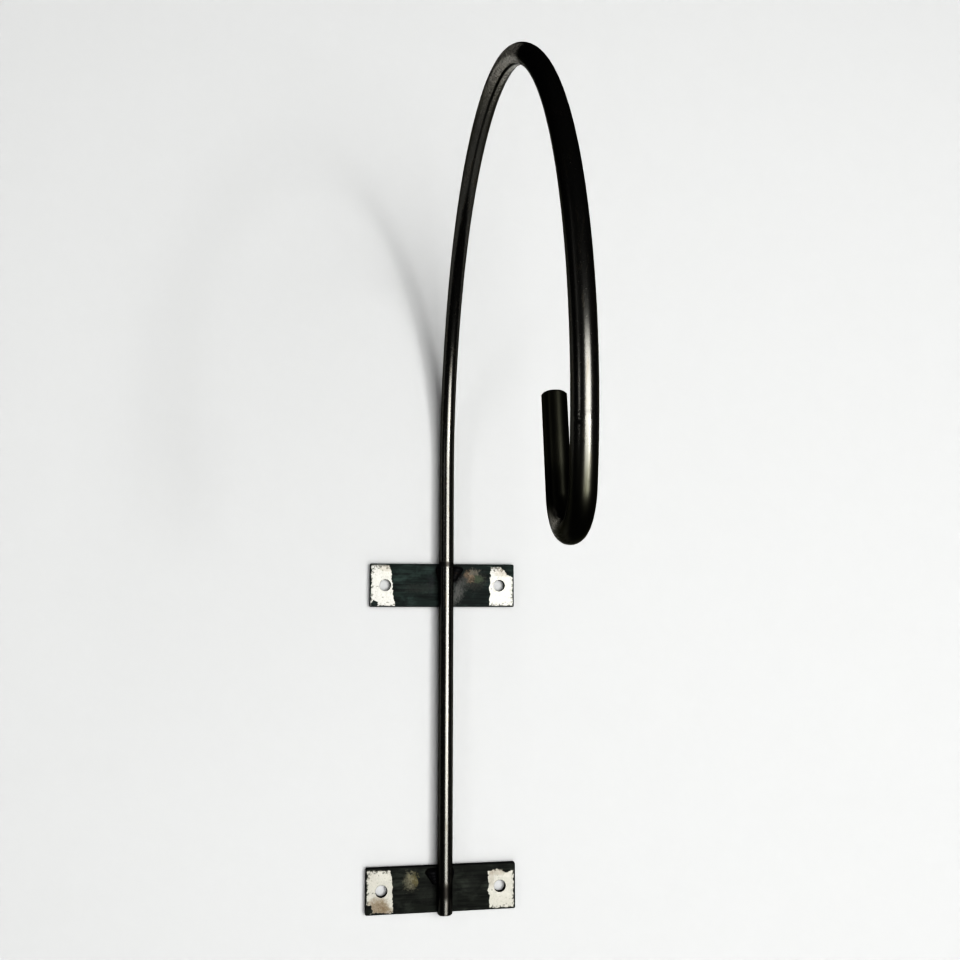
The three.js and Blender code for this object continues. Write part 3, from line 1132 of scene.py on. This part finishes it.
def add_world():
    """A pale surround for the camera that lights the rack only faintly, as a dim room would."""
    world = bpy.data.worlds.new("surround")
    world.use_nodes = True
    world.node_tree.nodes.clear()
    graph = Graph(world.node_tree)
    seen = graph.wire("ShaderNodeLightPath", "Is Camera Ray")
    strength = 0.05 + seen * 0.42
    pale = {"Color": (0.97, 0.98, 1.0, 1.0), "Strength": strength}
    background = graph.wire("ShaderNodeBackground", 0, pale)
    graph.add("ShaderNodeOutputWorld", {"Surface": background})
    bpy.context.scene.world = world


class RACK_OT_stage(bpy.types.Operator):
    """Make the pale wall and floor, the window light, the surround and the camera"""

    bl_idname = "rack.stage"
    bl_label = "Stage"

    def execute(self, context):
        stage = settings(context).stage
        floor = -stage.floor_drop
        wall = sheet_mesh("wall", upright_sheet(WALL_HALF_WIDTH, floor, WALL_TOP))
        wall.transform(Matrix.Translation((0, WALL_SETBACK, 0)))
        wall.materials.append(wall_material(stage))
        add_stage("wall", wall)
        ground = sheet_mesh("floor", level_sheet(-FLOOR_HALF_WIDTH, FLOOR_HALF_WIDTH, floor))
        ground.materials.append(floor_material(stage))
        add_stage("floor", ground)
        top = CAD_BOX[1][2] + stage.ceiling_gap
        low = CAD_BOX[0][2] - stage.skirting_gap
        dark = dark_room_material()
        add_dark_board("ceiling", level_sheet(0, -CEILING_DEPTH, top), dark)
        add_dark_board("skirting", upright_sheet(FLOOR_HALF_WIDTH, floor, low), dark)
        add_area_light("window", around(11.5, -1.2, 3.0), 2.2, 2.5, stage.window_power)
        add_area_light("sun_patch", around(25.0, -5.0, 3.0), 0.24, 0.6, stage.sun_power)
        add_area_light("left_strip", around(-52.0, 23.0, 2.4), 0.26, 1.6, stage.strip_power)
        add_area_light("back_right", around(140.0, 20.0, 2.2), 0.9, 1.4, stage.back_right_power)
        add_area_light("back_left", around(-150.0, 25.0, 2.2), 0.6, 1.4, stage.back_left_power)
        add_world()
        add_camera(stage)
        view = context.scene.view_settings
        view.view_transform = "Standard"
        view.look = "Very High Contrast"
        return {"FINISHED"}


# ---- Add-on -------------------------------------------------------------------------------------


class RackSettings(bpy.types.PropertyGroup):
    """All settings of the wall rack."""

    bar: PointerProperty(type=BarSettings, name="Bar", description="Bent bar")
    plates: PointerProperty(type=PlateSettings, name="Plates", description="Wall plates")
    welds: PointerProperty(type=WeldSettings, name="Welds", description="Weld beads")
    stage: PointerProperty(type=StageSettings, name="Stage", description="Room, light and camera")


OPERATORS = (RACK_OT_bent_bar, RACK_OT_wall_plates, RACK_OT_weld_beads, RACK_OT_stage)


class RACK_PT_panel(bpy.types.Panel):
    """Settings and build steps of the wall rack"""

    bl_idname = "RACK_PT_panel"
    bl_label = "Wall rack"
    bl_space_type = "VIEW_3D"
    bl_region_type = "UI"
    bl_category = "Wall rack"

    def draw(self, context):
        groups = ("bar", "plates", "welds", "stage")
        for operator, name in zip(OPERATORS, groups):
            box = self.layout.box()
            group = getattr(settings(context), name)
            for item in group.__annotations__:
                box.prop(group, item)
            box.operator(operator.bl_idname)


CLASSES = (
    BarSettings,
    PlateSettings,
    WeldSettings,
    StageSettings,
    RackSettings,
    *OPERATORS,
    RACK_PT_panel,
)


def register():
    for cls in CLASSES:
        bpy.utils.register_class(cls)
    bpy.types.Scene.wall_rack = PointerProperty(type=RackSettings)


def unregister():
    del bpy.types.Scene.wall_rack
    for cls in reversed(CLASSES):
        bpy.utils.unregister_class(cls)


def main():
    register()
    bpy.ops.rack.bent_bar()
    bpy.ops.rack.wall_plates()
    bpy.ops.rack.weld_beads()
    bpy.ops.rack.stage()


if __name__ == "__main__":
    main()
